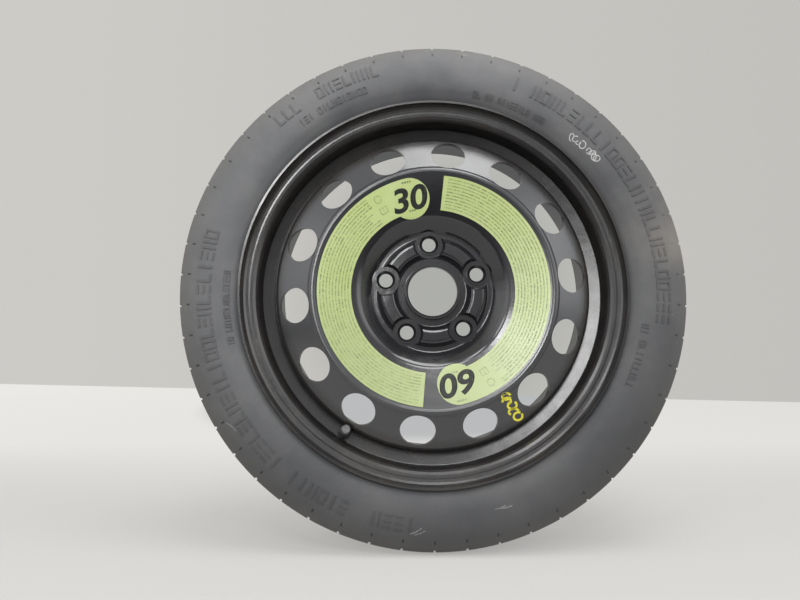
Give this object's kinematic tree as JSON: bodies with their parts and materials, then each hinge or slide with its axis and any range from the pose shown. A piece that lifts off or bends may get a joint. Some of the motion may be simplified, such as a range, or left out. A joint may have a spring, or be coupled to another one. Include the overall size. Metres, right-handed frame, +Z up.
{
  "type": "space saver spare wheel",
  "caption": "Narrow temporary spare: pressed-steel wheel with vented disc, high-pressure tyre, snap-in valve with removable cap, and two speed labels.",
  "frame": {"origin": "centre of the wheel: on its axis, at the middle of the rim's width", "axes": "+Y along the axle towards the car, -Y to the outer face, +Z up as the wheel stands in the picture, +X right as seen from outside"},
  "size_m": [0.5814, 0.126, 0.5814],
  "materials": {
    "tyre_rubber": "dusty black rubber, matt",
    "black_paint": "black electrocoat paint, semi-gloss",
    "painted_weld": "painted weld bead, rough",
    "label_film": "printed yellow-green film, satin",
    "valve_rubber": "black rubber, dusty",
    "brass": "plain machined brass",
    "pin_steel": "plain steel wire",
    "seal_rubber": "moulded seal rubber",
    "cap_plastic": "black moulded plastic, dusty"
  },
  "bodies": {
    "wheel": {"tyre": "tyre_rubber", "rim": "black_paint", "disc": "black_paint", "disc_welds": "painted_weld", "label_right": "label_film", "label_left": "label_film", "valve_body": "valve_rubber", "valve_stem": "brass", "valve_core_barrel": "brass", "valve_core_spring": "pin_steel"},
    "valve_pin": {"valve_core_pin": "pin_steel", "valve_core_seal": "seal_rubber"},
    "cap": {"valve_cap": "cap_plastic"}
  },
  "joints": [
    {"name": "valve_pin_press", "type": "slide", "parent": "wheel", "child": "valve_pin", "axis": [-0.1469, 0.9613, -0.2332], "range_m": [0, 0.0013], "stiffness_N_per_m": 800, "deforming": ["valve_core_spring"]},
    {"name": "valve_cap_off", "type": "slide", "parent": "wheel", "child": "cap", "axis": [0.1469, -0.9613, 0.2332], "range_m": [0, 0.025]}
  ]
}
